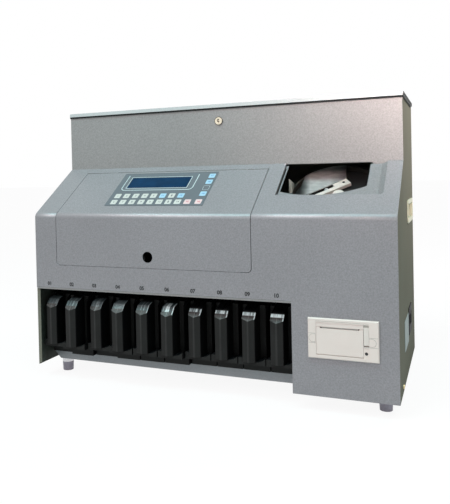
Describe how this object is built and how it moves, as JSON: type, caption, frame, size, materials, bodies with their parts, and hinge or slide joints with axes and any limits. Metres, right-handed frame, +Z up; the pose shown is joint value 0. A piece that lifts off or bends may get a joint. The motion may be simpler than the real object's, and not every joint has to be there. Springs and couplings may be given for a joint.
{
  "type": "coin sorting machine",
  "caption": "Bench-top coin sorting machine: lidded hopper over a sloped front with keypad door and disc window, a row of pull-out coin boxes and a slip printer.",
  "frame": {"origin": "on the floor under the middle of the whole machine", "axes": "+X to the machine's right seen from its front, +Y to its back, +Z up"},
  "size_m": [0.677, 0.3608, 0.5225],
  "materials": {
    "slope_paint": "satin light blue-grey paint",
    "casing_paint": "fine-textured grey paint",
    "foot_metal": "satin",
    "handle_plastic": "cream moulded plastic",
    "black_plastic": "black moulded plastic",
    "deck_sheet": "dark satin",
    "box_plastic": "gloss black moulded plastic",
    "bright_steel": "brushed",
    "lock_chrome": "polished",
    "overlay_film": "printed film",
    "display_glass": "blue display behind clear film",
    "printer_plastic": "ivory moulded plastic",
    "printer_black": "black moulded plastic",
    "roller_rubber": "ground rubber",
    "belt_rubber": "flat belt",
    "disc_aluminium": "machined",
    "motor_metal": "grey cast and drawn metal",
    "circuit_board": "green board"
  },
  "bodies": {
    "cabinet": {"front_cover": "slope_paint", "window_guard": "slope_paint", "left_side_panel": "casing_paint", "right_side_panel": "casing_paint", "rear_panel": "casing_paint", "hopper_front_panel": "casing_paint", "base_tray": "casing_paint", "feet": "foot_metal", "side_handles": "handle_plastic", "power_inlet": "black_plastic", "mechanism_deck": "deck_sheet", "box_guides": "deck_sheet", "coin_dividers": "deck_sheet", "transport_frame": "deck_sheet", "hopper_bin": "deck_sheet", "door_hinge_brackets": "bright_steel", "rear_hinge_leaf": "bright_steel", "coin_hood": "bright_steel", "stripper_bar": "bright_steel", "lock_barrel": "lock_chrome", "printer_bezel": "printer_plastic", "printer_housing": "printer_black", "disc_belt": "belt_rubber", "transport_belt": "belt_rubber", "feed_belt": "belt_rubber", "disc_ring": "disc_aluminium", "sort_plate": "disc_aluminium", "disc_motor": "motor_metal", "belt_motors": "motor_metal", "power_supply": "motor_metal", "main_board": "circuit_board"},
    "lid": {"hopper_lid": "casing_paint", "lid_hinge_leaf": "bright_steel"},
    "lock": {"lock_plug": "lock_chrome"},
    "door": {"front_door": "slope_paint", "door_hinge_arms": "bright_steel", "keypad_overlay": "overlay_film", "display_board": "display_glass"},
    "printer_door": {"printer_door": "printer_plastic"},
    "platen": {"platen_roller": "roller_rubber"},
    "printer_lever": {"printer_lever": "printer_plastic"},
    "feed_button": {"feed_button": "printer_black"},
    "power_rocker": {"power_rocker": "black_plastic"},
    "disc": {"sorting_disc": "disc_aluminium", "disc_spindle": "bright_steel"},
    "motor_pulley": {"motor_pulley": "bright_steel"},
    "transport_drive": {"transport_drive_pulley": "bright_steel"},
    "transport_idler": {"transport_idler_pulley": "bright_steel"},
    "feed_drive": {"feed_drive_roller": "bright_steel"},
    "feed_idler": {"feed_idler_roller": "bright_steel"},
    "coin_box_01": {"coin_box_01": "box_plastic"},
    "coin_box_02": {"coin_box_02": "box_plastic"},
    "coin_box_03": {"coin_box_03": "box_plastic"},
    "coin_box_04": {"coin_box_04": "box_plastic"},
    "coin_box_05": {"coin_box_05": "box_plastic"},
    "coin_box_06": {"coin_box_06": "box_plastic"},
    "coin_box_07": {"coin_box_07": "box_plastic"},
    "coin_box_08": {"coin_box_08": "box_plastic"},
    "coin_box_09": {"coin_box_09": "box_plastic"},
    "coin_box_10": {"coin_box_10": "box_plastic"}
  },
  "joints": [
    {"name": "lid_hinge", "type": "hinge", "parent": "cabinet", "child": "lid", "pos_m": [0, 0.17736, 0.515], "axis": [-1, 0, 0], "range_deg": [0, 105]},
    {"name": "lock_turn", "type": "hinge", "parent": "cabinet", "child": "lock", "pos_m": [0, -0.04564, 0.49], "axis": [0, 1, 0], "range_deg": [0, 90]},
    {"name": "door_hinge", "type": "hinge", "parent": "cabinet", "child": "door", "pos_m": [-0.0933, -0.04647, 0.39543], "axis": [-1, 0, 0], "range_deg": [0, 90]},
    {"name": "printer_door_hinge", "type": "hinge", "parent": "cabinet", "child": "printer_door", "pos_m": [0.2457, -0.17774, 0.096], "axis": [1, 0, 0], "range_deg": [0, 85]},
    {"name": "platen_spin", "type": "hinge", "parent": "printer_door", "child": "platen", "pos_m": [0.2457, -0.17074, 0.1305], "axis": [1, 0, 0], "continuous": true},
    {"name": "printer_lever_hinge", "type": "hinge", "parent": "cabinet", "child": "printer_lever", "pos_m": [0.28705, -0.17774, 0.1152], "axis": [1, 0, 0], "range_deg": [0, 20]},
    {"name": "feed_button_press", "type": "slide", "parent": "cabinet", "child": "feed_button", "axis": [0, 1, 0], "range_m": [0, 0.0008], "stiffness_N_per_m": 800},
    {"name": "power_rocker_tilt", "type": "hinge", "parent": "cabinet", "child": "power_rocker", "pos_m": [0.3325, 0.06136, 0.1125], "axis": [0, -1, 0], "range_deg": [0, 16]},
    {"name": "disc_spin", "type": "hinge", "parent": "cabinet", "child": "disc", "pos_m": [0.228, -0.05743, 0.34137], "axis": [0, -0.5525, 0.8335], "continuous": true},
    {"name": "motor_pulley_spin", "type": "hinge", "parent": "cabinet", "child": "motor_pulley", "pos_m": [0.303, -0.01489, 0.27719], "axis": [0, -0.5525, 0.8335], "continuous": true},
    {"name": "transport_drive_spin", "type": "hinge", "parent": "cabinet", "child": "transport_drive", "pos_m": [-0.3, -0.11239, 0.32294], "axis": [0, 0.8335, 0.5525], "continuous": true},
    {"name": "transport_idler_spin", "type": "hinge", "parent": "cabinet", "child": "transport_idler", "pos_m": [0.106, -0.11239, 0.32294], "axis": [0, 0.8335, 0.5525], "continuous": true},
    {"name": "feed_drive_spin", "type": "hinge", "parent": "cabinet", "child": "feed_drive", "pos_m": [0.138, 0.06936, 0.424], "axis": [0, 1, 0], "continuous": true},
    {"name": "feed_idler_spin", "type": "hinge", "parent": "cabinet", "child": "feed_idler", "pos_m": [-0.288, 0.06936, 0.424], "axis": [0, 1, 0], "continuous": true},
    {"name": "coin_box_01_pull", "type": "slide", "parent": "cabinet", "child": "coin_box_01", "axis": [0, -1, 0], "range_m": [-0.004, 0.25]},
    {"name": "coin_box_02_pull", "type": "slide", "parent": "cabinet", "child": "coin_box_02", "axis": [0, -1, 0], "range_m": [-0.014, 0.25]},
    {"name": "coin_box_03_pull", "type": "slide", "parent": "cabinet", "child": "coin_box_03", "axis": [0, -1, 0], "range_m": [-0.005, 0.25]},
    {"name": "coin_box_04_pull", "type": "slide", "parent": "cabinet", "child": "coin_box_04", "axis": [0, -1, 0], "range_m": [-0.011, 0.25]},
    {"name": "coin_box_05_pull", "type": "slide", "parent": "cabinet", "child": "coin_box_05", "axis": [0, -1, 0], "range_m": [-0.01, 0.25]},
    {"name": "coin_box_06_pull", "type": "slide", "parent": "cabinet", "child": "coin_box_06", "axis": [0, -1, 0], "range_m": [-0.009, 0.25]},
    {"name": "coin_box_07_pull", "type": "slide", "parent": "cabinet", "child": "coin_box_07", "axis": [0, -1, 0], "range_m": [0, 0.25]},
    {"name": "coin_box_08_pull", "type": "slide", "parent": "cabinet", "child": "coin_box_08", "axis": [0, -1, 0], "range_m": [0, 0.25]},
    {"name": "coin_box_09_pull", "type": "slide", "parent": "cabinet", "child": "coin_box_09", "axis": [0, -1, 0], "range_m": [0, 0.25]},
    {"name": "coin_box_10_pull", "type": "slide", "parent": "cabinet", "child": "coin_box_10", "axis": [0, -1, 0], "range_m": [0, 0.25]}
  ],
  "couplings": [
    {"joint": "motor_pulley_spin", "follows": "disc_spin", "ratio": 1},
    {"joint": "transport_idler_spin", "follows": "transport_drive_spin", "ratio": 1},
    {"joint": "feed_idler_spin", "follows": "feed_drive_spin", "ratio": 1}
  ]
}
